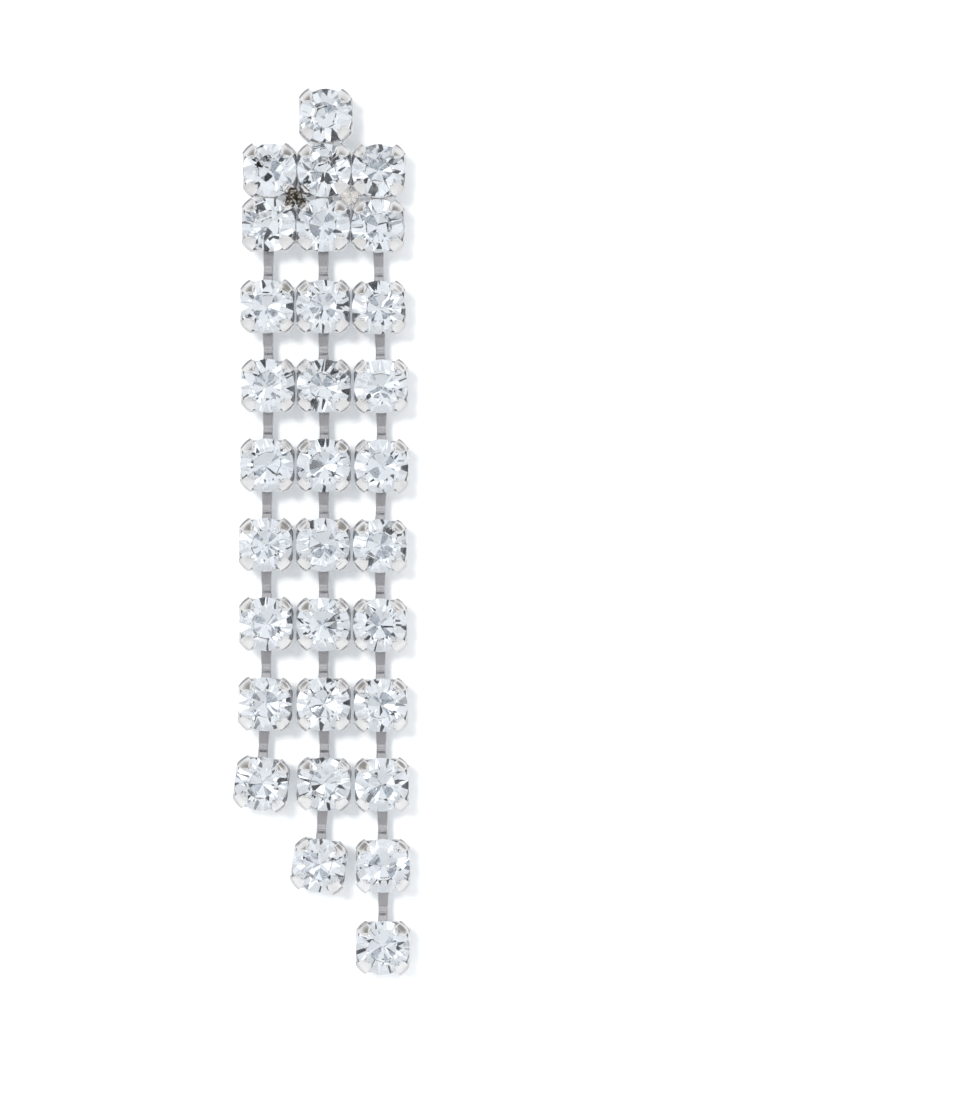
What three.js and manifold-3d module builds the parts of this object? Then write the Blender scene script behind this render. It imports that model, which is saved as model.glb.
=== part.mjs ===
// Chandelier earring: one stone over a soldered block of six, with three strands of claw-set
// round stones hanging from it, stepped longer from left to right.
// Millimetres. +X is to the right and +Z up as the earring is seen from the front; it faces -Y.
// The origin is on the ear post's axis, on the back face of its pad, which bears on the ear lobe.

import * as THREE from "three";
import { mergeVertices } from "three/addons/utils/BufferGeometryUtils.js";
import Module from "manifold-3d";

const wasm = await Module();
wasm.setup();

// Stone: a round chaton, pointed behind and with a flat table in front.
const STONE_DIAMETER = 4.65;
const STONE_SIDES = 16;
const TABLE_DIAMETER = 2.5;
const CROWN_HEIGHT = 1.0;
const GIRDLE_HEIGHT = 0.12;
const PAVILION_HEIGHT = 1.9;

// Setting: an eight-sided cup of thin sheet with four claws on its diagonals.
const SHEET = 0.25;
const CUP_SIDES = 8;
const CUP_BASE_APOTHEM = 1.7;
const CUP_RIM_APOTHEM = 2.2;
const CUP_RIM_DEPTH = 1.35;
const CLAW_COUNT = 4;
const CLAW_WIDTH = 1.17;
const CLAW_REACH = 2.7;
const CLAW_TIP_RADIUS = 1.8;
const TIP_CLEARANCE = 0.12;
const STONE_CLEARANCE = 0.06;

// Link: a flat strip with a crimp, hooked through the walls of two settings.
const LINK_WIDTH = 0.86;
const LINK_SHEET = 0.28;
const LINK_DEPTH = 0.75;
const LINK_END_RADIUS = 1.45;
const LINK_CRIMP_AT = 0.62;
const LINK_CRIMP_LENGTH = 0.5;
const LINK_CRIMP_STEP = 0.14;
const HOOK_WIDTH = 1.35;
const HOOK_LENGTH = 0.18;
const SLOT_CLEARANCE = 0.15;

// Ear post and its pad, which is soldered behind the top setting.
const POST_DIAMETER = 0.8;
const POST_LENGTH = 10.5;
const POST_TIP = 0.4;
const PAD_DIAMETER = 3.2;
const PAD_THICKNESS = 0.3;
const POST_SIDES = 16;
const SOLDER_GAP = 0.05;

// Block: one stone over two rows of three. Each row gives a setting's centre.
const BLOCK_PITCH = 4.75;
const BLOCK = [
  { name: "top", x: 0, z: 0, turn: 0 },
  { name: "upper_left", x: -4.86, z: -4.74, turn: -1 },
  { name: "upper_middle", x: -0.14, z: -4.74, turn: 0 },
  { name: "upper_right", x: 4.58, z: -4.8, turn: 1 },
  { name: "lower_left", x: -4.95, z: -9.47, turn: 0 },
  { name: "lower_middle", x: -0.22, z: -9.48, turn: 0 },
  { name: "lower_right", x: 4.52, z: -9.56, turn: 1 },
];

// Strands: each row is one hanging setting. sway is how far its centre stands to the right of the
// strand's column, slack lengthens the link above it and turn leans it clockwise, in degrees.
const FIRST_DROP = 7.07;
const LINK_PITCH = 6.89;
const STRANDS = [
  {
    name: "left",
    hangs_from: "lower_left",
    column: -5.15,
    settings: [
      { sway: 0.06, slack: 0, turn: 0 },
      { sway: 0.14, slack: -0.02, turn: 0.5 },
      { sway: 0.06, slack: 0, turn: 0.5 },
      { sway: -0.06, slack: 0, turn: 1 },
      { sway: -0.03, slack: -0.02, turn: 0 },
      { sway: -0.12, slack: 0.05, turn: 1.5 },
      { sway: -0.43, slack: 0, turn: 7 },
    ],
  },
  {
    name: "middle",
    hangs_from: "lower_middle",
    column: -0.2,
    settings: [
      { sway: -0.04, slack: 0, turn: 0 },
      { sway: 0.03, slack: -0.02, turn: 0 },
      { sway: 0.01, slack: 0, turn: 0.5 },
      { sway: -0.04, slack: 0, turn: 0 },
      { sway: -0.01, slack: 0, turn: 0 },
      { sway: 0.01, slack: 0.03, turn: -0.5 },
      { sway: 0.04, slack: 0.02, turn: 2 },
      { sway: -0.39, slack: 0.14, turn: 8 },
    ],
  },
  {
    name: "right",
    hangs_from: "lower_right",
    column: 4.78,
    settings: [
      { sway: -0.17, slack: 0, turn: -0.5 },
      { sway: 0.02, slack: -0.06, turn: -1 },
      { sway: 0.05, slack: 0.02, turn: 0 },
      { sway: -0.09, slack: 0.03, turn: 0.5 },
      { sway: -0.07, slack: -0.02, turn: 0 },
      { sway: -0.02, slack: 0.03, turn: -0.5 },
      { sway: 0.09, slack: 0, turn: -1 },
      { sway: 0.19, slack: 0.14, turn: -1 },
      { sway: 0.16, slack: 0.2, turn: 1 },
    ],
  },
];

// Solder between the block's settings: seams where two cups stand side by side, within SEAM_REACH
// pitches, and fillets in the wider gaps where corners meet. It keeps off the stones' seats.
const SEAM_RADII = { along: 0.75, across: 0.5, deep: 0.6 };
const FILLET_RADII = { along: 1.45, across: 1.45, deep: 0.45 };
const FILLETS = [
  { x: -2.45, z: -2.37 },
  { x: 2.22, z: -2.4 },
  { x: -2.7, z: -7.1 },
  { x: 2.2, z: -7.15 },
];
const SOLDER_DEPTH = 0.85;
const SOLDER_SIDES = 8;
const SEAM_REACH = 1.1;
const STONE_SEAT = 1.02;

// Joined faces that are flat within this are drawn as one.
const FLATNESS = 0.003;

const CRYSTAL = { color: 0xe4ecf6, roughness: 0.03, metalness: 0 };
const SILVER = { color: 0xc9c8c6, roughness: 0.22, metalness: 1 };

const stoneRadius = STONE_DIAMETER / 2;
const cupBack = -(PAD_THICKNESS + SOLDER_GAP);
const culetDepth = SHEET + STONE_CLEARANCE * 2;
const girdleDepth = culetDepth + PAVILION_HEIGHT;
const crownDepth = girdleDepth + GIRDLE_HEIGHT;
const tableDepth = crownDepth + CROWN_HEIGHT;

// Depths are measured forwards from the back of the cups, so they run towards -Y.
const atDepth = (depth) => cupBack - depth;
const radians = THREE.MathUtils.degToRad;
const placed = (x, z, degrees) =>
  new THREE.Matrix4().makeRotationY(radians(degrees)).setPosition(x, 0, z);

function solidOf(geometry, matrix = new THREE.Matrix4()) {
  const bare = geometry.clone().applyMatrix4(matrix);
  bare.deleteAttribute("normal");
  bare.deleteAttribute("uv");
  const merged = mergeVertices(bare, 1e-5);
  return new wasm.Manifold(
    new wasm.Mesh({
      numProp: 3,
      vertProperties: new Float32Array(merged.attributes.position.array),
      triVerts: new Uint32Array(merged.index.array),
    })
  );
}

function geometryOf(solid) {
  const { vertProperties, triVerts } = solid.asOriginal().simplify(FLATNESS).getMesh();
  const geometry = new THREE.BufferGeometry();
  geometry.setAttribute("position", new THREE.BufferAttribute(vertProperties, 3));
  geometry.setIndex(new THREE.BufferAttribute(triVerts, 1));
  geometry.computeVertexNormals();
  return geometry;
}

function turned(corners, sides, firstAngle = 0) {
  const profile = corners.map(([radius, y]) => new THREE.Vector2(radius, y));
  return new THREE.LatheGeometry(profile, sides, firstAngle);
}

function sideProfile(corners, width) {
  const shape = new THREE.Shape(corners.map(([x, y]) => new THREE.Vector2(x, y)));
  const strip = new THREE.ExtrudeGeometry(shape, { depth: width, bevelEnabled: false });
  return strip.translate(0, 0, -width / 2);
}

function stoneGeometry() {
  const corners = [
    [0, atDepth(tableDepth)],
    [TABLE_DIAMETER / 2, atDepth(tableDepth)],
    [stoneRadius, atDepth(crownDepth)],
    [stoneRadius, atDepth(girdleDepth)],
    [0, atDepth(culetDepth)],
  ];
  return turned(corners, STONE_SIDES);
}

function cupSolid() {
  const corner = 1 / Math.cos(Math.PI / CUP_SIDES);
  const slope = (CUP_RIM_APOTHEM - CUP_BASE_APOTHEM) / CUP_RIM_DEPTH;
  const innerBase = CUP_BASE_APOTHEM + slope * SHEET - SHEET;
  const corners = [
    [0, atDepth(SHEET)],
    [innerBase * corner, atDepth(SHEET)],
    [(CUP_RIM_APOTHEM - SHEET) * corner, atDepth(CUP_RIM_DEPTH)],
    [CUP_RIM_APOTHEM * corner, atDepth(CUP_RIM_DEPTH)],
    [CUP_BASE_APOTHEM * corner, atDepth(0)],
    [0, atDepth(0)],
  ];
  return solidOf(turned(corners, CUP_SIDES, Math.PI / CUP_SIDES));
}

function clawSolid() {
  const crownSlope = CROWN_HEIGHT / (stoneRadius - TABLE_DIAMETER / 2);
  const overTip = crownDepth + crownSlope * (stoneRadius - CLAW_TIP_RADIUS) + TIP_CLEARANCE;
  const inside = CLAW_REACH - SHEET;
  const shoulder = crownDepth + STONE_CLEARANCE * 3;
  const corners = [
    [CUP_BASE_APOTHEM - SHEET, atDepth(SHEET / 4)],
    [CUP_BASE_APOTHEM, atDepth(SHEET / 4)],
    [CLAW_REACH - SHEET / 4, atDepth(girdleDepth - SHEET)],
    [CLAW_REACH, atDepth(shoulder)],
    [CLAW_REACH - SHEET, atDepth(shoulder + SHEET)],
    [CLAW_TIP_RADIUS + SHEET / 3, atDepth(overTip + SHEET)],
    [CLAW_TIP_RADIUS, atDepth(overTip)],
    [inside, atDepth(shoulder)],
    [inside, atDepth(girdleDepth - SHEET)],
  ];
  return solidOf(sideProfile(corners, CLAW_WIDTH));
}

function settingSolid() {
  const claw = clawSolid();
  let setting = cupSolid();
  for (let i = 0; i < CLAW_COUNT; i += 1) {
    setting = setting.add(claw.rotate([0, 45 + (360 / CLAW_COUNT) * i, 0]));
  }
  return setting.asOriginal().simplify(FLATNESS);
}

// A link runs down from the upper setting's centre, its ends inside the two cups. The crimp steps
// it forwards, and a hooked end is wider than the slot that it hangs in.
function linkSolid(upper, lower, hooked) {
  const dx = lower.x - upper.x;
  const dz = lower.z - upper.z;
  const length = Math.hypot(dx, dz);
  const start = LINK_END_RADIUS;
  const end = length - LINK_END_RADIUS;
  const crimp = start + (end - start) * LINK_CRIMP_AT;
  const back = LINK_DEPTH;
  const front = LINK_DEPTH + LINK_SHEET;
  const corners = [
    [start, atDepth(back)],
    [crimp, atDepth(back)],
    [crimp + LINK_CRIMP_LENGTH, atDepth(back + LINK_CRIMP_STEP)],
    [end, atDepth(back + LINK_CRIMP_STEP)],
    [end, atDepth(front + LINK_CRIMP_STEP)],
    [crimp + LINK_CRIMP_LENGTH, atDepth(front + LINK_CRIMP_STEP)],
    [crimp, atDepth(front)],
    [start, atDepth(front)],
  ];
  const downwards = 90 + THREE.MathUtils.radToDeg(Math.atan2(-dx, -dz));
  const place = placed(upper.x, upper.z, downwards);
  const strip = solidOf(sideProfile(corners, LINK_WIDTH), place);
  if (!hooked) return strip;
  const hookCorners = [
    [start, atDepth(back)],
    [start + HOOK_LENGTH, atDepth(back)],
    [start + HOOK_LENGTH, atDepth(front)],
    [start, atDepth(front)],
  ];
  return strip.add(solidOf(sideProfile(hookCorners, HOOK_WIDTH), place));
}

// The slot in a lower block cup's bottom wall that a strand's first link passes through.
function slotSolid(cup, column) {
  const width = LINK_WIDTH + SLOT_CLEARANCE * 2;
  const height = LINK_SHEET + SLOT_CLEARANCE * 2;
  const length = CUP_RIM_APOTHEM;
  const slot = new THREE.BoxGeometry(width, height, length);
  const lean = THREE.MathUtils.radToDeg(Math.atan2(cup.x - column, FIRST_DROP));
  slot.translate(0, atDepth(LINK_DEPTH + LINK_SHEET / 2), -LINK_END_RADIUS - length / 2);
  return solidOf(slot, placed(cup.x, cup.z, lean));
}

function solderSolid(x, z, degrees, radii) {
  const bead = new THREE.SphereGeometry(1, SOLDER_SIDES, SOLDER_SIDES / 2 + 1);
  bead.scale(radii.across, radii.deep, radii.along);
  bead.translate(0, atDepth(SOLDER_DEPTH), 0);
  return solidOf(bead, placed(x, z, degrees));
}

function blockSolder() {
  const beads = [];
  for (const [i, a] of BLOCK.entries()) {
    for (const b of BLOCK.slice(i + 1)) {
      const apart = Math.hypot(a.x - b.x, a.z - b.z);
      if (apart < BLOCK_PITCH * SEAM_REACH) {
        const sideways = THREE.MathUtils.radToDeg(Math.atan2(a.z - b.z, b.x - a.x));
        beads.push(solderSolid((a.x + b.x) / 2, (a.z + b.z) / 2, sideways, SEAM_RADII));
      }
    }
  }
  for (const { x, z } of FILLETS) beads.push(solderSolid(x, z, 45, FILLET_RADII));
  return beads;
}

function seatSolid(place) {
  const seat = stone.clone().scale(STONE_SEAT, 1, STONE_SEAT);
  return solidOf(seat, placed(place.x, place.z, place.turn));
}

const root = new THREE.Group();
const stone = stoneGeometry();
const setting = settingSolid();

function addPiece(name, geometry, finish) {
  const piece = new THREE.Mesh(geometry, new THREE.MeshStandardMaterial(finish));
  piece.name = name;
  root.add(piece);
  return piece;
}

function addStone(name, place) {
  const piece = addPiece(name, stone, CRYSTAL);
  piece.position.set(place.x, 0, place.z);
  piece.rotation.y = radians(place.turn);
}

function settingAt(place) {
  return setting.transform(placed(place.x, place.z, place.turn).elements);
}

// The block of seven settings is soldered into one piece.
let block = BLOCK.map(settingAt).reduce((joined, next) => joined.add(next));
for (const bead of blockSolder()) block = block.add(bead);
for (const strand of STRANDS) {
  const cup = BLOCK.find((place) => place.name === strand.hangs_from);
  block = block.subtract(slotSolid(cup, strand.column));
}
for (const place of BLOCK) block = block.subtract(seatSolid(place));
addPiece("top_setting", geometryOf(block), SILVER);
for (const place of BLOCK) addStone(`stone_${place.name}`, place);

// Each strand is one thread of settings and links, hooked into the block's lower row.
for (const strand of STRANDS) {
  const cup = BLOCK.find((place) => place.name === strand.hangs_from);
  let above = { x: cup.x, z: cup.z };
  let drop = FIRST_DROP;
  const pieces = [];
  for (const [i, row] of strand.settings.entries()) {
    const place = {
      x: strand.column + row.sway,
      z: above.z - drop - row.slack,
      turn: row.turn,
    };
    pieces.push(settingAt(place), linkSolid(above, place, i === 0));
    addStone(`stone_${strand.name}_${i + 1}`, place);
    above = place;
    drop = LINK_PITCH;
  }
  addPiece(`${strand.name}_strand`, geometryOf(wasm.Manifold.union(pieces)), SILVER);
}

// The post runs straight back from its pad to a tapered tip.
const postRadius = POST_DIAMETER / 2;
const postCorners = [
  [0, -PAD_THICKNESS],
  [PAD_DIAMETER / 2, -PAD_THICKNESS],
  [PAD_DIAMETER / 2, 0],
  [postRadius, 0],
  [postRadius, POST_LENGTH - POST_TIP],
  [postRadius / 2, POST_LENGTH],
  [0, POST_LENGTH],
];
addPiece("ear_post", turned(postCorners, POST_SIDES), SILVER);

export default root;
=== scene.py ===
"""A chandelier earring of claw-set stones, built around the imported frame. Metres, +Z up, front to -Y."""

import math
import random

import bmesh
import bpy
from mathutils import Matrix, Vector, noise


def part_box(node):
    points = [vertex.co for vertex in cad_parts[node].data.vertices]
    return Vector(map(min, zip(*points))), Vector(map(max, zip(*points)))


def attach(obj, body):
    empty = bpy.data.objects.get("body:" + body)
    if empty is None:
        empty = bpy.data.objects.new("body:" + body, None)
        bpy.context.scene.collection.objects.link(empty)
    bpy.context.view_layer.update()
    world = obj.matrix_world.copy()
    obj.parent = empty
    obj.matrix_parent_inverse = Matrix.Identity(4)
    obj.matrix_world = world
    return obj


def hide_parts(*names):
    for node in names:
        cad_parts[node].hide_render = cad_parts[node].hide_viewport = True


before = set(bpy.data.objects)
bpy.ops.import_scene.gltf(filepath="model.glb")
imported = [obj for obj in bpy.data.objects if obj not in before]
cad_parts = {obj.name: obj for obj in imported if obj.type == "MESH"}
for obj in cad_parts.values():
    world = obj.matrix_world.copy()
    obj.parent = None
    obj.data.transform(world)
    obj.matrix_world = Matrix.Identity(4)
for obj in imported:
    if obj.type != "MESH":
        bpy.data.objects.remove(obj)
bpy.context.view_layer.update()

MM = 0.001

# ---------------------------------------------------------------- sizes, in millimetres

# Cut of a stone: the table as a share of its width, the crown and girdle as shares of its depth. The
# unevenness is how far a facet is off true, in degrees, and the tilt how far a stone sits off true.
CAD_SIDES = 16
TABLE_SHARE = 0.52
CROWN_SHARE = 0.325
GIRDLE_SHARE = 0.045
FACETS = 16
STRAND_UNEVENNESS = 1.1
BLOCK_UNEVENNESS = 1.9
STONE_TILT = math.radians(0.8)
ROD_SIDES = 64
CUT_TOLERANCE = 1e-5
FOIL_BELOW = -0.3

# Sheet of a setting: a bowl whose wall runs up into four claws on its diagonals.
CUP_BACK = -0.35
SHEET = 0.2
EDGE_ROUND = 0.035
BASE_APOTHEM = 1.7
SIDE_FLARE = 0.37
CLAW_FLARE = 0.46
OUTLINE_POWER = 22
CLAW_HALF_ANGLE = math.radians(12.5)
CLAW_HALF_WIDTH = 0.57
CLAW_ROOT_DEPTH = 1.75
CLAW_BULGE = 0.08
CLAW_COLUMNS = 8
GAP_COLUMNS = 12
WALL_ROWS = 7
LINK_NOTCH = 0.6
LINK_NOTCH_POWER = 3.4
SIDE_NOTCH = 1.15
SIDE_NOTCH_POWER = 2.4
DISH_DEPTH = 0.07
WALL_START = 0.14
BASE_PROFILE = ((0.3, 0.07), (0.48, 0.055), (0.56, 0.0), (0.86, 0.0), (0.95, 0.02), (0.99, 0.07))

# A claw's reach and tip radius, how square its end is, how far it stands up, and its share of the width.
SQUARE_CLAW = {
    "reach": 2.61, "tip": (1.85, 2.0), "squareness": (4.0, 7.0), "lift": 0.0, "width": (0.88, 0.98),
}
ROUND_CLAW = {
    "reach": 2.54, "tip": (1.62, 1.78), "squareness": (2.2, 2.8), "lift": 0.12, "width": (0.95, 1.05),
}
CLAW_REACH_ERROR = (-0.06, 0.03)
CLAW_LIFT = (0.02, 0.08)
CLAW_SKEW = 0.05
CLAW_STRAIGHT_STEPS = 5
CLAW_END_WIDTH = 0.16
SHORT_CLAW_WIDTH = 0.75
SHORT_CLAW_TIP = 0.25

# Link: where the strip lies, its section and the crimp two thirds of the way down.
LINK_DEPTH = 0.89
LINK_THICKNESS = 0.26
LINK_END = 1.5
LINK_CORNER = 0.07
LINK_SKEW = 0.04
LINK_STEPS = 44
LINK_WIDTHS = ((0.0, 0.95), (0.25, 0.9), (0.62, 0.8), (0.78, 0.82), (1.0, 0.88))
LINK_BENDS = (
    (-0.4, 0.0), (0.0, 0.0), (0.5, 0.0), (0.58, 0.02), (0.645, 0.09), (0.68, 0.1), (0.75, 0.095),
    (0.79, 0.06), (0.84, 0.01), (0.9, 0.05), (1.0, 0.16), (1.12, 0.16), (1.4, 0.0),
)

# A strand has round claws on its other settings this often.
ROUND_CLAW_CHANCE = 0.3

# Solder: a lump in the seam of each two settings nearer than so many radii, and lumps in two corners.
SEAM_REACH = 2.3
SEAM_DEPTH = 0.85
SEAM_LUMP = (0.5, 0.55, 0.75)
CORNERS = (
    {"pair": ("upper_left", "lower_middle"), "slot": 2, "count": 16, "size": 0.3, "spread": 0.75},
    {"pair": ("upper_right", "lower_middle"), "slot": 1, "count": 6, "size": 0.4, "spread": 0.45},
)
CORNER_DEPTH = 2.3
CORNER_FLATNESS = 0.8
CORNER_ROUGHNESS = 0.25

WIRE_RADIUS = 0.4
POST_SIDES = 48


# ---------------------------------------------------------------- materials

def new_material(name):
    material = bpy.data.materials.new(name)
    material.use_nodes = True
    tree = material.node_tree
    shader = tree.nodes["Principled BSDF"]
    return material, tree, shader


def add(tree, kind, **values):
    """Adds a node. Values name its inputs, with spaces as underscores, or else its properties."""
    node = tree.nodes.new(kind)
    for key, value in values.items():
        socket = node.inputs.get(key.replace("_", " "))
        if socket is None or hasattr(node, key):
            setattr(node, key, value)
        elif hasattr(value, "is_linked"):
            tree.links.new(value, socket)
        else:
            socket.default_value = value
    return node


def in_millimetres(tree, stretch=(1, 1, 1)):
    place = add(tree, "ShaderNodeTexCoord").outputs["Object"]
    scale = tuple(s / MM for s in stretch)
    return add(tree, "ShaderNodeMapping", Vector=place, Scale=scale).outputs["Vector"]


def noise_of(tree, vector, size, detail=3.0, rough=0.55):
    node = add(tree, "ShaderNodeTexNoise", Vector=vector, Scale=1 / size, Detail=detail, Roughness=rough)
    return node.outputs["Fac"]


def remap(tree, value, low, high, to_low=0.0, to_high=1.0):
    node = add(tree, "ShaderNodeMapRange")
    tree.links.new(value, node.inputs["Value"])
    for key, number in (("From Min", low), ("From Max", high), ("To Min", to_low), ("To Max", to_high)):
        node.inputs[key].default_value = number
    return node.outputs["Result"]


def blend_colours(tree, factor, first, second):
    node = tree.nodes.new("ShaderNodeMix")
    node.data_type = "RGBA"
    for socket, value in ((node.inputs[0], factor), (node.inputs[6], first), (node.inputs[7], second)):
        if hasattr(value, "is_linked"):
            tree.links.new(value, socket)
        else:
            socket.default_value = (*value, 1)
    return node.outputs[2]


def bump_of(tree, height, distance, strength=1.0):
    node = add(tree, "ShaderNodeBump", Strength=strength, Distance=distance * MM, Height=height)
    return node.outputs["Normal"]


def silver_material(name, bright, dull, least_rough, most_rough, scratches):
    """Plated metal: cloudy polish, fine drawn scratches and a slight dulling in patches."""
    material, tree, shader = new_material(name)
    place = in_millimetres(tree)
    clouds = noise_of(tree, place, 0.9)
    grain = noise_of(tree, in_millimetres(tree, (1, 1, 0.12)), 0.06, 2.0)
    shader.inputs["Metallic"].default_value = 1.0
    tint = remap(tree, clouds, 0.35, 0.7)
    tree.links.new(blend_colours(tree, tint, bright, dull), shader.inputs["Base Color"])
    polish = add(tree, "ShaderNodeMath", operation="ADD")
    tree.links.new(remap(tree, clouds, 0.3, 0.7, least_rough, most_rough), polish.inputs[0])
    tree.links.new(remap(tree, grain, 0.45, 0.75, 0.0, 0.08 * scratches), polish.inputs[1])
    tree.links.new(polish.outputs[0], shader.inputs["Roughness"])
    tree.links.new(bump_of(tree, grain, 0.0015, scratches), shader.inputs["Normal"])
    return material


def solder_material(name, metal, tarnish, cover):
    """Lumpy solder with oxide over part of it."""
    material, tree, shader = new_material(name)
    place = in_millimetres(tree)
    lumps = noise_of(tree, place, 0.35, 4.0, 0.65)
    oxide = remap(tree, lumps, cover - 0.06, cover + 0.06)
    tree.links.new(blend_colours(tree, oxide, tarnish, metal), shader.inputs["Base Color"])
    tree.links.new(remap(tree, oxide, 0, 1, 0.5, 0.2), shader.inputs["Roughness"])
    tree.links.new(remap(tree, oxide, 0, 1, 0.75, 1.0), shader.inputs["Metallic"])
    tree.links.new(bump_of(tree, lumps, 0.06), shader.inputs["Normal"])
    return material


def crystal_material():
    """Clear lead glass with the faintest cast and film of handling on it."""
    material, tree, shader = new_material("crystal")
    place = in_millimetres(tree)
    film = noise_of(tree, place, 1.4)
    cast = blend_colours(tree, film, (0.998, 1.0, 1.0), (0.985, 0.992, 1.0))
    tree.links.new(cast, shader.inputs["Base Color"])
    shader.inputs["Transmission Weight"].default_value = 1.0
    shader.inputs["IOR"].default_value = 1.56
    tree.links.new(remap(tree, film, 0.45, 0.75, 0.0, 0.03), shader.inputs["Roughness"])
    return material


def foil_material():
    """Mirror foil behind the glass, with slight ripples and a cool cast."""
    material, tree, shader = new_material("foil")
    place = in_millimetres(tree)
    clouds = noise_of(tree, place, 1.1)
    cast = blend_colours(tree, remap(tree, clouds, 0.35, 0.65), (0.928, 0.948, 0.972), (0.885, 0.912, 0.942))
    tree.links.new(cast, shader.inputs["Base Color"])
    shader.inputs["Metallic"].default_value = 1.0
    tree.links.new(remap(tree, clouds, 0.3, 0.7, 0.02, 0.06), shader.inputs["Roughness"])
    return material


crystal = crystal_material()
foil = foil_material()
plated = silver_material("plated_silver", (0.855, 0.86, 0.872), (0.76, 0.762, 0.77), 0.13, 0.24, 0.4)
# The links' silver is a darker copy of the plated silver: painted shade that stands in for the darker
# reflections along the strips.
strip_metal_painted_dark = silver_material("strip_silver_painted_dark", (0.555, 0.555, 0.58), (0.505, 0.505, 0.525), 0.22, 0.27, 0.0)
solder_bright = solder_material("solder_bright", (0.86, 0.84, 0.82), (0.62, 0.57, 0.51), 0.3)
solder_dark = solder_material("solder_dark", (0.6, 0.57, 0.53), (0.055, 0.043, 0.032), 0.55)


# ---------------------------------------------------------------- meshes

class Shape:
    """Points, faces and their material numbers, in millimetres."""

    def __init__(self):
        self.points, self.faces, self.slots = [], [], []

    def point(self, x, y, z):
        self.points.append(Vector((x, y, z)))
        return len(self.points) - 1

    def face(self, corners):
        self.faces.append(tuple(corners))
        self.slots.append(0)

    def take(self, other, matrix, slot=None):
        first = len(self.points)
        self.points += [matrix @ p for p in other.points]
        self.faces += [tuple(first + i for i in f) for f in other.faces]
        self.slots += other.slots if slot is None else [slot] * len(other.faces)

    def mesh(self, name, materials, sharp_above=None):
        mesh = bpy.data.meshes.new(name)
        mesh.from_pydata([p * MM for p in self.points], [], self.faces)
        for material in materials:
            mesh.materials.append(material)
        mesh.polygons.foreach_set("material_index", self.slots)
        if sharp_above is not None:
            mesh.polygons.foreach_set("use_smooth", [True] * len(self.faces))
            mesh.set_sharp_from_angle(angle=math.radians(sharp_above))
        mesh.update()
        return mesh


def finished(shape, modifiers):
    """The shape after Blender modifiers, each a kind with its settings."""
    scratch = bpy.data.objects.new("scratch", shape.mesh("scratch", []))
    bpy.context.collection.objects.link(scratch)
    for kind, settings in modifiers:
        modifier = scratch.modifiers.new(kind.lower(), kind)
        for key, value in settings.items():
            setattr(modifier, key, value)
    mesh = scratch.evaluated_get(bpy.context.evaluated_depsgraph_get()).to_mesh()
    done = Shape()
    done.points = [v.co / MM for v in mesh.vertices]
    done.faces = [tuple(p.vertices) for p in mesh.polygons]
    done.slots = [0] * len(done.faces)
    bpy.data.objects.remove(scratch)
    return done


def add_piece(name, mesh, slot, *nodes):
    piece = bpy.data.objects.new(name, mesh)
    bpy.context.collection.objects.link(piece)
    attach(piece, "root")
    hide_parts(*nodes)


def polar(radius, angle, depth):
    """A point at a clockwise angle from straight up, seen from the front, and a depth forwards."""
    return (radius * math.sin(angle), -depth, radius * math.cos(angle))


# ---------------------------------------------------------------- where each setting is

class Seat:
    """A stone's place in the frame: its centre, its lean and how deep it sits."""

    def __init__(self, node):
        self.node = node
        low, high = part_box(node)
        self.x, self.z = (low[0] + high[0]) / 2 / MM, (low[2] + high[2]) / 2 / MM
        self.table, self.culet = low[1] / MM, high[1] / MM
        corners = [v.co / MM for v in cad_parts[node].data.vertices]
        spread = [(math.hypot(c.x - self.x, c.z - self.z), c) for c in corners]
        self.radius = max(r for r, _ in spread)
        step = 2 * math.pi / CAD_SIDES
        rim = [c for r, c in spread if r > self.radius * 0.99]
        leans = [math.remainder(math.atan2(c.x - self.x, c.z - self.z), step) for c in rim]
        self.lean = sum(leans) / len(leans)

    def matrix(self, depth_zero=CUP_BACK):
        return Matrix.Translation((self.x, depth_zero, self.z)) @ Matrix.Rotation(self.lean, 4, "Y")


BLOCK_NAMES = (
    "top", "upper_left", "upper_middle", "upper_right", "lower_left", "lower_middle", "lower_right",
)
block_seats = {name: Seat(f"stone_{name}") for name in BLOCK_NAMES}
strand_seats = {}
for strand in ("left", "middle", "right"):
    nodes = [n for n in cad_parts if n.startswith(f"stone_{strand}_")]
    strand_seats[strand] = [Seat(n) for n in sorted(nodes)]


# Claws are numbered clockwise from the upper right one. The broken ones stand around the brown patch.
ALL_CLAWS = (0, 1, 2, 3)
LEFT_CLAWS = (2, 3)
BROKEN_CLAWS = {"upper_left": (1,), "upper_middle": (2,), "lower_left": (0,), "lower_middle": (3,)}


# ---------------------------------------------------------------- stones

def facet_planes(radius, crown, girdle, pavilion, unevenness, rng):
    """A point and an outward normal for each cut: the table, then the crown's and the back's facets.
    The stone faces +Z with the middle of its girdle at 0."""
    planes = [(Vector((0, 0, girdle / 2 + crown)), Vector((0, 0, 1)))]
    slopes = (
        (1, math.atan2(crown, radius * (1 - TABLE_SHARE))),
        (-1, math.atan2(pavilion, radius)),
    )
    for side, slope in slopes:
        for k in range(FACETS):
            turn = 2 * math.pi * k / FACETS + math.radians(rng.gauss(0, unevenness))
            lean = slope + math.radians(rng.gauss(0, unevenness))
            outward = Vector((math.sin(turn), math.cos(turn), 0))
            normal = outward * math.sin(lean) + Vector((0, 0, side * math.cos(lean)))
            planes.append((outward * radius + Vector((0, 0, side * girdle / 2)), normal))
    return planes


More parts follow.
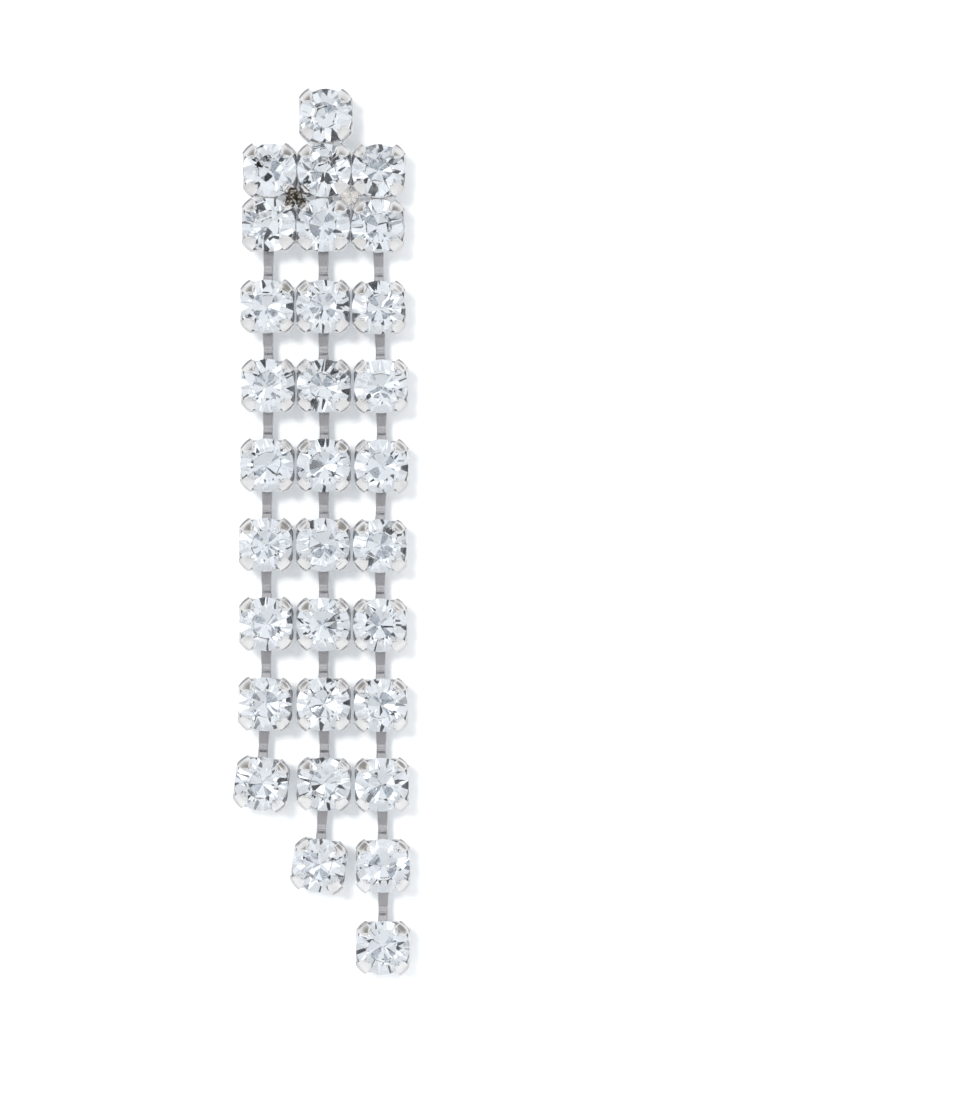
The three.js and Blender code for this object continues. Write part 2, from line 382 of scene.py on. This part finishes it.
def cut_stone(seat, unevenness, rng):
    """A round stone with a foiled back, cut from a rod plane by plane, then turned at random and tilted."""
    depth = seat.culet - seat.table
    crown, girdle = depth * CROWN_SHARE, depth * GIRDLE_SHARE
    pavilion = depth - crown - girdle
    rod = bmesh.new()
    bmesh.ops.create_cone(
        rod, cap_ends=True, segments=ROD_SIDES, radius1=seat.radius, radius2=seat.radius, depth=2 * depth
    )
    for point, normal in facet_planes(seat.radius, crown, girdle, pavilion, unevenness, rng):
        everything = rod.verts[:] + rod.edges[:] + rod.faces[:]
        cut = bmesh.ops.bisect_plane(
            rod, geom=everything, plane_co=point, plane_no=normal, clear_outer=True, dist=CUT_TOLERANCE
        )
        edges = [e for e in cut["geom_cut"] if isinstance(e, bmesh.types.BMEdge)]
        bmesh.ops.edgeloop_fill(rod, edges=edges)
    bmesh.ops.recalc_face_normals(rod, faces=rod.faces)
    for face in rod.faces:
        face.material_index = 1 if face.normal.z < FOIL_BELOW else 0
    tilt = Matrix.Rotation(rng.gauss(0, STONE_TILT), 4, "X")
    tilt = tilt @ Matrix.Rotation(rng.gauss(0, STONE_TILT), 4, "Z")
    turn = Matrix.Rotation(rng.uniform(0, 2 * math.pi), 4, "Y")
    upright = Matrix.Rotation(math.pi / 2, 4, "X")
    place = seat.matrix(seat.table + crown + girdle / 2) @ tilt @ turn @ upright
    rod.transform(Matrix.Scale(MM, 4) @ place)
    mesh = bpy.data.meshes.new(seat.node + "_cut")
    rod.to_mesh(mesh)
    rod.free()
    mesh.materials.append(crystal)
    mesh.materials.append(foil)
    return mesh


# ---------------------------------------------------------------- settings

def outline(angle, claw_apothem, side_apothem):
    """The cup's radius at an angle: an octagon with round corners, its diagonal flats the claws'."""
    total = 0
    for i in range(8):
        reach = max(0.0, math.cos(angle - i * math.pi / 4))
        total += (reach / (claw_apothem if i % 2 else side_apothem)) ** OUTLINE_POWER
    return total ** (-1 / OUTLINE_POWER)


def smooth(t):
    t = min(max(t, 0.0), 1.0)
    return t * t * (3 - 2 * t)


def cup_columns():
    """Each column's angle from straight up and, under a claw, which claw and how far across it."""
    columns = []
    for claw in range(4):
        centre = math.pi / 4 + claw * math.pi / 2
        for i in range(CLAW_COLUMNS + 1):
            across = 2 * i / CLAW_COLUMNS - 1
            columns.append((centre + across * CLAW_HALF_ANGLE, claw, across))
        gap = math.pi / 2 - 2 * CLAW_HALF_ANGLE
        for i in range(1, GAP_COLUMNS):
            columns.append((centre + CLAW_HALF_ANGLE + gap * i / GAP_COLUMNS, None, 2 * i / GAP_COLUMNS - 1))
    return columns


def wall_top(angle, claw, across):
    """How far forwards the wall runs: up to a claw's root, or to a notch, deeper where the links pass."""
    if claw is not None:
        return CLAW_ROOT_DEPTH
    links = abs(math.cos(angle)) > math.sqrt(0.5)
    notch, power = (LINK_NOTCH, LINK_NOTCH_POWER) if links else (SIDE_NOTCH, SIDE_NOTCH_POWER)
    return notch + (CLAW_ROOT_DEPTH - notch) * abs(across) ** power


def claw_path(reach, tip, lift):
    """The claw's outer face in (radius, depth) from its root over the girdle to its tip."""
    bend = reach - 0.42
    return (
        (reach - 0.08, 2.0), (reach - 0.01, 2.2), (reach, 2.38), (reach - 0.03, 2.54),
        (reach - 0.11, 2.68 + lift / 3), (reach - 0.25, 2.78 + lift / 2), (bend, 2.85 + lift * 0.7),
        (0.6 * bend + 0.4 * tip, 2.92 + lift), (0.3 * bend + 0.7 * tip, 2.98 + lift),
        (0.1 * bend + 0.9 * tip, 3.02 + lift), (tip, 3.04 + lift),
    )


def add_bowl(shape, columns):
    """The cup's base and wall, as an open sheet. Returns the wall's top ring."""
    rows = []
    for share, depth in BASE_PROFILE:
        radius = [share * outline(a, BASE_APOTHEM, BASE_APOTHEM) for a, _, _ in columns]
        rows.append([shape.point(*polar(r, c[0], depth)) for r, c in zip(radius, columns)])
    for row in range(WALL_ROWS + 1):
        ring = []
        for angle, claw, across in columns:
            depth = WALL_START + (wall_top(angle, claw, across) - WALL_START) * row / WALL_ROWS
            radius = outline(angle, BASE_APOTHEM + CLAW_FLARE * depth, BASE_APOTHEM + SIDE_FLARE * depth)
            ring.append(shape.point(*polar(radius, angle, depth)))
        rows.append(ring)
    centre = shape.point(0, -DISH_DEPTH, 0)
    count = len(columns)
    for i in range(count):
        shape.face((centre, rows[0][i], rows[0][(i + 1) % count]))
    for lower, upper in zip(rows, rows[1:]):
        for i in range(count):
            j = (i + 1) % count
            shape.face((lower[i], upper[i], upper[j], lower[j]))
    return rows[-1]


def add_claw(shape, root, turn, style, short, rng):
    """One claw from its root's points, bent over the girdle and rounded off at its tip."""
    reach = style["reach"] + rng.uniform(*CLAW_REACH_ERROR)
    tip = rng.uniform(*style["tip"])
    squareness = rng.uniform(*style["squareness"])
    lift = rng.uniform(*CLAW_LIFT) + style["lift"]
    skew = rng.uniform(-CLAW_SKEW, CLAW_SKEW)
    wide = CLAW_HALF_WIDTH * rng.uniform(*style["width"])
    if short:
        wide, tip = wide * SHORT_CLAW_WIDTH, tip + SHORT_CLAW_TIP
    path = claw_path(reach, tip, lift)
    below = root
    for step, (radius, depth) in enumerate(path):
        q = max(0.0, (step - CLAW_STRAIGHT_STEPS) / (len(path) - 1 - CLAW_STRAIGHT_STEPS))
        q = math.sin(q * math.pi / 2) ** 0.9
        half = wide * max((1 - q ** squareness), 0.0) ** (1 / squareness)
        half = max(half, CLAW_END_WIDTH * wide)
        ring = []
        for i in range(CLAW_COLUMNS + 1):
            across = 2 * i / CLAW_COLUMNS - 1
            side = across * half + skew * max(0.0, reach - radius)
            bulge = CLAW_BULGE * (1 - across ** 2)
            p = Matrix.Rotation(turn, 3, "Y") @ Vector((side, -(depth + bulge * q), radius + bulge * (1 - q)))
            ring.append(shape.point(*p))
        for i in range(CLAW_COLUMNS):
            shape.face((below[i], ring[i], ring[i + 1], below[i + 1]))
        below = ring


def cup_sheet(rng, petals, short):
    """One bowl with its claws, as an open sheet. Claws in petals are round, those in short are small."""
    shape = Shape()
    columns = cup_columns()
    rim = add_bowl(shape, columns)
    for claw in ALL_CLAWS:
        root = [rim[i] for i, c in enumerate(columns) if c[1] == claw]
        style = ROUND_CLAW if claw in petals else SQUARE_CLAW
        add_claw(shape, root, math.pi / 4 + claw * math.pi / 2, style, claw in short, rng)
    return shape


def cup(rng, petals, short=()):
    """One setting as solid metal with soft edges."""
    solid = {"thickness": SHEET * MM, "offset": 1.0, "use_even_offset": False}
    soft_edges = {
        "width": EDGE_ROUND * MM, "segments": 2, "limit_method": "ANGLE", "angle_limit": math.radians(50)
    }
    return finished(cup_sheet(rng, petals, short), [("SOLIDIFY", solid), ("BEVEL", soft_edges)])


def along(table, t):
    """The value at t in a table of (t, value), eased from row to row."""
    for (t0, v0), (t1, v1) in zip(table, table[1:]):
        if t <= t1:
            return v0 + (v1 - v0) * smooth((t - t0) / (t1 - t0))
    return table[-1][1]


def link(upper, lower, rng):
    """The strip from one setting's wall to the next, with its crimp, already in place."""
    dx, dz = lower.x - upper.x, lower.z - upper.z
    length = math.hypot(dx, dz)
    gap = length - 2 * upper.radius
    heading = Matrix.Rotation(math.atan2(-dx, -dz), 4, "Y")
    place = Matrix.Translation((upper.x, CUP_BACK, upper.z)) @ heading
    shape = Shape()
    before = None
    skew = rng.uniform(-LINK_SKEW, LINK_SKEW)
    for step in range(LINK_STEPS + 1):
        s = LINK_END + (length - 2 * LINK_END) * step / LINK_STEPS
        t = (s - upper.radius) / gap
        half = along(LINK_WIDTHS, t) / 2
        middle = LINK_DEPTH + along(LINK_BENDS, t)
        thick = LINK_THICKNESS / 2
        section = []
        for sx, sd in ((-1, -1), (-1, 1), (1, 1), (1, -1)):
            arc = ((0, 1), (0.3, 0.7), (1, 0)) if sx * sd > 0 else ((1, 0), (0.7, 0.3), (0, 1))
            for ax, ad in arc:
                section.append((sx * (half - LINK_CORNER * ax), middle + sd * (thick - LINK_CORNER * ad)))
        ring = [shape.point(x + skew * t, -d, -s) for x, d in section]
        if before:
            for i in range(len(ring)):
                j = (i + 1) % len(ring)
                shape.face((before[i], before[j], ring[j], ring[i]))
        else:
            shape.face(ring[::-1])
        before = ring
    shape.face(before)
    done = Shape()
    done.take(shape, place)
    return done


def lump(centre, radii, turn, seed, roughness=0.16):
    """A blob of solder: a ball pressed flat, its surface uneven."""
    ball = bmesh.new()
    bmesh.ops.create_icosphere(ball, subdivisions=4, radius=1)
    shape = Shape()
    for v in ball.verts:
        uneven = 1 + roughness * noise.fractal(v.co * 2.3 + Vector((seed, 0, 0)), 0.8, 2.1, 4)
        shape.point(*(Vector(r * c for r, c in zip(radii, v.co)) * uneven))
    for f in ball.faces:
        shape.face([v.index for v in f.verts])
    ball.free()
    done = Shape()
    done.take(shape, Matrix.Translation(centre) @ Matrix.Rotation(turn, 4, "Y"))
    return done


def build_stones():
    """Each stone, with random numbers of its own."""
    seats = list(block_seats.values()) + [s for seats in strand_seats.values() for s in seats]
    for number, seat in enumerate(seats):
        rng = random.Random(400 + number)
        unevenness = BLOCK_UNEVENNESS if seat in block_seats.values() else STRAND_UNEVENNESS
        add_piece(seat.node + "_cut", cut_stone(seat, unevenness, rng), "crystal", seat.node)


def build_strand(name):
    """One strand's settings and the links that join them, from the block's lower row down."""
    rng = random.Random(f"{name} strand")
    shape = Shape()
    above = block_seats[f"lower_{name}"]
    for seat in strand_seats[name]:
        petals = LEFT_CLAWS if name == "left" or rng.random() < ROUND_CLAW_CHANCE else ()
        shape.take(cup(rng, petals), seat.matrix(), 0)
        shape.take(link(above, seat, rng), Matrix(), 1)
        above = seat
    mesh = shape.mesh(f"{name}_chain", [plated, strip_metal_painted_dark], 40)
    add_piece(f"{name}_chain", mesh, "silver_metal", f"{name}_strand")


def build_block():
    """The seven settings at the top with the solder between them."""
    rng = random.Random("block")
    shape = Shape()
    for key, seat in block_seats.items():
        shape.take(cup(rng, ALL_CLAWS, BROKEN_CLAWS.get(key, ())), seat.matrix(), 0)
    names = list(block_seats)
    for i, a in enumerate(names):
        for b in names[i + 1:]:
            one, two = block_seats[a], block_seats[b]
            apart = math.hypot(one.x - two.x, one.z - two.z)
            if apart < SEAM_REACH * one.radius:
                middle = ((one.x + two.x) / 2, CUP_BACK - SEAM_DEPTH, (one.z + two.z) / 2)
                turn = math.atan2(one.z - two.z, two.x - one.x)
                shape.take(lump(middle, SEAM_LUMP, turn, i + 3), Matrix(), 1)
    for number, corner in enumerate(CORNERS):
        one, two = [block_seats[key] for key in corner["pair"]]
        x, z = (one.x + two.x) / 2, (one.z + two.z) / 2
        spread = corner["spread"]
        for i in range(corner["count"]):
            dx, dz = rng.uniform(-spread, spread), rng.uniform(-spread, spread)
            radius = corner["size"] * rng.uniform(0.85, 1.15)
            centre = (x + dx, CUP_BACK - CORNER_DEPTH - rng.uniform(0, spread), z + dz)
            radii = (radius, CORNER_FLATNESS * radius, radius)
            blob = lump(centre, radii, rng.uniform(0, 3), 10 * number + i, CORNER_ROUGHNESS)
            shape.take(blob, Matrix(), corner["slot"])
    mesh = shape.mesh("soldered_block", [plated, solder_bright, solder_dark], 40)
    add_piece("soldered_block", mesh, "silver_metal", "top_setting")


def build_post():
    """The straight ear post: a round pad, a fillet of solder, the wire and its rounded tip."""
    low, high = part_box("ear_post")
    pad, length = (high[0] - low[0]) / 2 / MM, high[1] / MM
    thick = -low[1] / MM
    wire = WIRE_RADIUS
    profile = [
        (0, -thick), (pad - 0.08, -thick), (pad - 0.02, -thick + 0.03), (pad, -thick + 0.1), (pad, -0.1),
        (pad - 0.03, -0.03), (pad - 0.1, 0), (0.75, 0), (0.55, 0.05), (0.45, 0.16), (wire, 0.32),
        (wire, length - 0.5), (wire - 0.03, length - 0.3), (wire - 0.1, length - 0.12),
        (wire - 0.22, length - 0.03), (0, length),
    ]
    shape = Shape()
    rings = []
    for radius, y in profile:
        if radius == 0:
            rings.append([shape.point(0, y, 0)])
        else:
            turns = [2 * math.pi * i / POST_SIDES for i in range(POST_SIDES)]
            rings.append([shape.point(radius * math.sin(a), y, radius * math.cos(a)) for a in turns])
    for a, b in zip(rings, rings[1:]):
        for i in range(POST_SIDES):
            j = (i + 1) % POST_SIDES
            corners = (a[i % len(a)], b[i % len(b)], b[j % len(b)], a[j % len(a)])
            shape.face(dict.fromkeys(corners))
    mesh = shape.mesh("round_post", [plated], 40)
    add_piece("round_post", mesh, "silver_metal", "ear_post")


build_stones()
for strand in strand_seats:
    build_strand(strand)
build_block()
build_post()


# ---------------------------------------------------------------- room, light and camera

VIEW_HEIGHT = 97.55
VIEW_CENTRE = (13.37, -38.5)
VIEW_DISTANCE = 500.0
SENSOR = 36

FLOOR_HEIGHT = -92
FLOOR_REACH = 400
WALL_LEFT, WALL_RIGHT = -120, 140
WALL_BACK = 0.1
WALL_TOP = 11


def build_camera():
    """The camera looks straight at the front, from far enough away to flatten it."""
    data = bpy.data.cameras.new("camera")
    data.sensor_width = SENSOR
    data.lens = data.sensor_width * VIEW_DISTANCE / VIEW_HEIGHT
    data.clip_start = 0.01
    camera = bpy.data.objects.new("camera", data)
    camera.location = (VIEW_CENTRE[0] * MM, -VIEW_DISTANCE * MM, VIEW_CENTRE[1] * MM)
    camera.rotation_euler = (math.pi / 2, 0, 0)
    bpy.context.collection.objects.link(camera)
    bpy.context.scene.camera = camera


def flat_panel(name, corners, material):
    """A staged rectangle, which isn't part of the earring."""
    mesh = bpy.data.meshes.new(name)
    mesh.from_pydata([Vector(c) * MM for c in corners], [], [(0, 1, 2, 3)])
    mesh.materials.append(material)
    panel = bpy.data.objects.new(name, mesh)
    bpy.context.collection.objects.link(panel)
    return panel


def build_room():
    """A white wall just behind the earring and a pale floor below it. The wall takes the soft shadow and
    is clear when seen from behind, so that it doesn't hide the earring's back. The post runs through it."""
    material, tree, shader = new_material("white_wall")
    tone = noise_of(tree, in_millimetres(tree), 40.0)
    white = blend_colours(tree, tone, (0.93, 0.93, 0.93), (0.95, 0.95, 0.95))
    tree.links.new(white, shader.inputs["Base Color"])
    shader.inputs["Roughness"].default_value = 0.9
    shader.inputs["Specular IOR Level"].default_value = 0.0
    shader.inputs["Emission Color"].default_value = (0.7, 0.86, 1.0, 1)
    shader.inputs["Emission Strength"].default_value = 0.2
    clear = add(tree, "ShaderNodeBsdfTransparent")
    mix = add(tree, "ShaderNodeMixShader")
    tree.links.new(add(tree, "ShaderNodeNewGeometry").outputs["Backfacing"], mix.inputs[0])
    tree.links.new(shader.outputs[0], mix.inputs[1])
    tree.links.new(clear.outputs[0], mix.inputs[2])
    tree.links.new(mix.outputs[0], tree.nodes["Material Output"].inputs["Surface"])
    corners = (
        (WALL_LEFT, WALL_BACK, FLOOR_HEIGHT), (WALL_RIGHT, WALL_BACK, FLOOR_HEIGHT),
        (WALL_RIGHT, WALL_BACK, WALL_TOP), (WALL_LEFT, WALL_BACK, WALL_TOP),
    )
    wall = flat_panel("wall", corners, material)
    wall.visible_glossy = False

    floor, tree, shader = new_material("pale_floor")
    tone = noise_of(tree, in_millimetres(tree), 30.0)
    pale = blend_colours(tree, tone, (0.88, 0.88, 0.88), (0.92, 0.92, 0.92))
    tree.links.new(pale, shader.inputs["Base Color"])
    shader.inputs["Roughness"].default_value = 0.7
    ends = ((-1, -1), (1, -1), (1, 1), (-1, 1))
    flat_panel("floor", [(FLOOR_REACH * x, FLOOR_REACH * y, FLOOR_HEIGHT) for x, y in ends], floor)


def direction(azimuth, elevation):
    """Towards a place in the room: azimuth 0 is the camera's side, to the right positive."""
    a, e = math.radians(azimuth), math.radians(elevation)
    return Vector((math.sin(a) * math.cos(e), -math.cos(a) * math.cos(e), math.sin(e)))


# What stands in the white tent: grey boards, lamps, and gaps that the dark room shows through, the
# one at 0 being the camera's. A row is off the camera's axis by one angle, at turns given clockwise
# from straight up. Its radius and soft edge are angles too, all in degrees.
ROOM = (0.045, 0.046, 0.05)
LAMP = (1.7, 1.7, 1.7)
WHITE = (1.0, 1.0, 1.0)
WARM_GREY = (0.3, 0.28, 0.26)
MID_GREY = (0.42, 0.42, 0.43)
BACK_GREY = (0.34, 0.34, 0.36)
RINGS = [
    {"off": 57, "turns": (-45, 45), "radius": 12, "soft": 7, "tone": WARM_GREY},
    {"off": 66, "turns": (135, 225), "radius": 7, "soft": 6, "tone": MID_GREY},
    {"off": 120, "turns": (20, 80, 140, 200, 260, 320), "radius": 13, "soft": 14, "tone": BACK_GREY},
    {"off": 15, "turns": (30, 150, 270), "radius": 5, "soft": 1, "tone": LAMP},
    {"off": 0, "turns": (0,), "radius": 5.5, "soft": 0.8, "tone": ROOM},
    {"off": 24, "turns": (90, 210, 330), "radius": 6, "soft": 1, "tone": ROOM},
    {"off": 38, "turns": (20, 140, 260), "radius": 7, "soft": 1, "tone": ROOM},
]
SUN_COLOUR = (1.0, 0.97, 0.93)
SUN_ENERGY = 1.6
SUN_ANGLE = math.radians(15)
SUN_PLACE = direction(-20, 15)


def build_light():
    """A white tent that only reflections see in detail, and one soft sun that they don't see."""
    world = bpy.data.worlds.new("tent")
    bpy.context.scene.world = world
    world.use_nodes = True
    tree = world.node_tree
    shader = tree.nodes["Background"]
    way = add(tree, "ShaderNodeTexCoord").outputs["Generated"]
    colour = WHITE
    for ring in RINGS:
        for turn in ring["turns"]:
            off, turn = math.radians(ring["off"]), math.radians(turn)
            place = Vector((math.sin(off) * math.sin(turn), -math.cos(off), math.sin(off) * math.cos(turn)))
            towards = add(tree, "ShaderNodeVectorMath", operation="DOT_PRODUCT")
            tree.links.new(way, towards.inputs[0])
            towards.inputs[1].default_value = place
            inner = math.cos(math.radians(ring["radius"]))
            outer = math.cos(math.radians(ring["radius"] + ring["soft"]))
            mask = remap(tree, towards.outputs["Value"], outer, inner)
            colour = blend_colours(tree, mask, colour, ring["tone"])
    seen = add(tree, "ShaderNodeLightPath").outputs["Is Camera Ray"]
    tree.links.new(blend_colours(tree, seen, colour, WHITE), shader.inputs["Color"])
    shader.inputs["Strength"].default_value = 1.0

    sun = bpy.data.lights.new("key", "SUN")
    sun.color = SUN_COLOUR
    sun.energy = SUN_ENERGY
    sun.angle = SUN_ANGLE
    lamp = bpy.data.objects.new("key", sun)
    lamp.rotation_mode = "QUATERNION"
    lamp.rotation_quaternion = SUN_PLACE.to_track_quat("Z", "Y")
    lamp.visible_glossy = False
    lamp.visible_transmission = False
    bpy.context.collection.objects.link(lamp)


build_camera()
build_room()
build_light()
scene = bpy.context.scene
scene.view_settings.view_transform = "Standard"
scene.cycles.max_bounces = 16
scene.cycles.glossy_bounces = 10
scene.cycles.transmission_bounces = 12
scene.cycles.diffuse_bounces = 3
